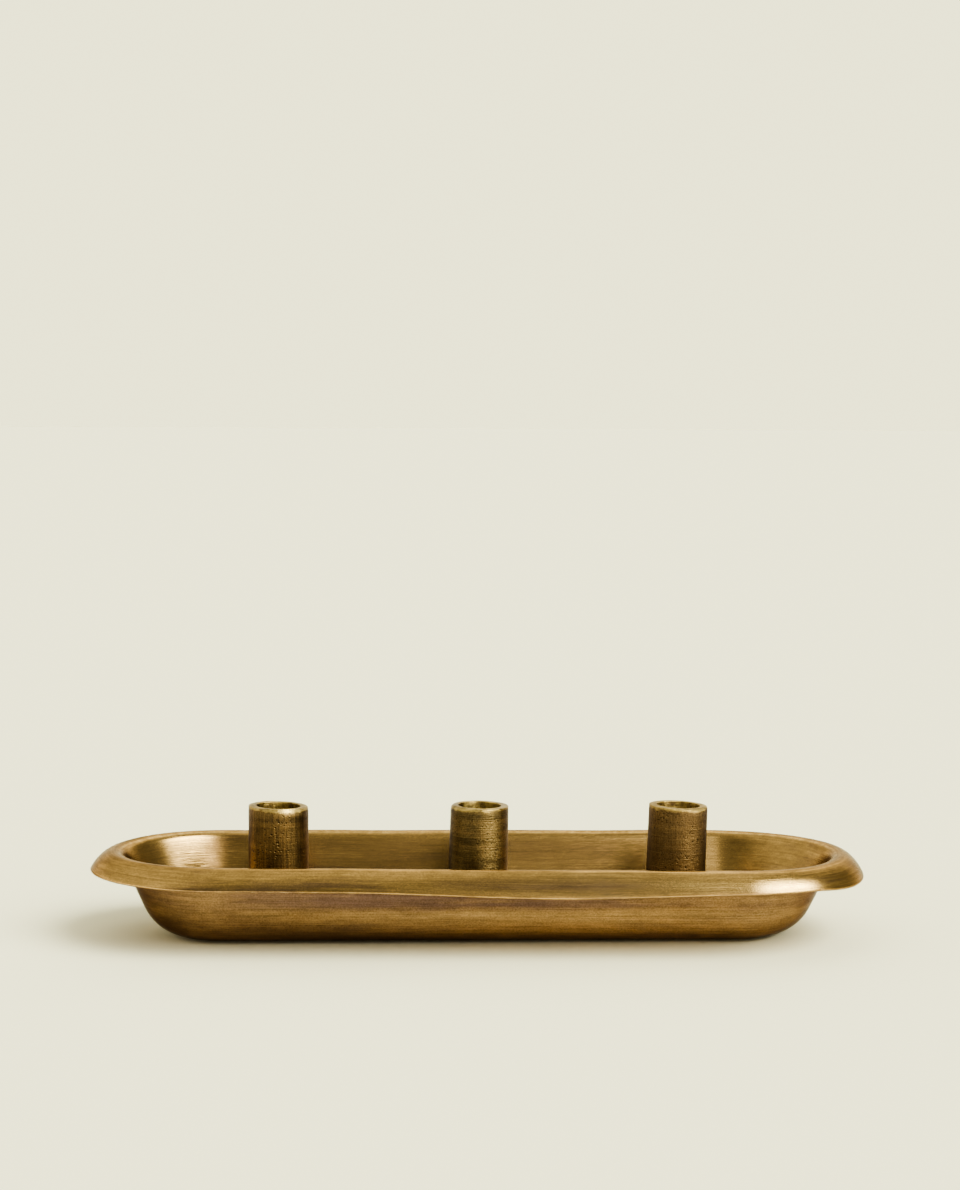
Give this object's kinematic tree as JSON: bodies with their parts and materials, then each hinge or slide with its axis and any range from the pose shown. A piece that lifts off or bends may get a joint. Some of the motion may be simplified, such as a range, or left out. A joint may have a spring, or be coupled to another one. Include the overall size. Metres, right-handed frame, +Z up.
{
  "type": "three-light candle tray",
  "caption": "Oblong brass tray with a rolled-over rim and upright tubular sockets for slim dinner candles, standing on a felt foot.",
  "frame": {"origin": "on the surface that the tray stands on, under the middle of the tray", "axes": "+Z up, +X along the tray's length, +Y across it towards the back"},
  "size_m": [0.3882, 0.1342, 0.065],
  "materials": {
    "tray_brass": "aged and brushed, golden brown with darker patches",
    "socket_brass": "turned and darkened, worn bright on the rims",
    "inner_brass": "plain turned",
    "steel": "zinc plated",
    "felt": "dense wool felt"
  },
  "bodies": {
    "root": {"tray": "tray_brass", "socket_left": "socket_brass", "socket_centre": "socket_brass", "socket_right": "socket_brass", "candle_stop_left": "inner_brass", "candle_stop_centre": "inner_brass", "candle_stop_right": "inner_brass", "socket_plug_left": "inner_brass", "socket_plug_centre": "inner_brass", "socket_plug_right": "inner_brass", "fixing_screw_left": "steel", "fixing_screw_centre": "steel", "fixing_screw_right": "steel", "spring_washer_left": "steel", "spring_washer_centre": "steel", "spring_washer_right": "steel", "flat_washer_left": "steel", "flat_washer_centre": "steel", "flat_washer_right": "steel", "base_felt": "felt"}
  },
  "joints": []
}
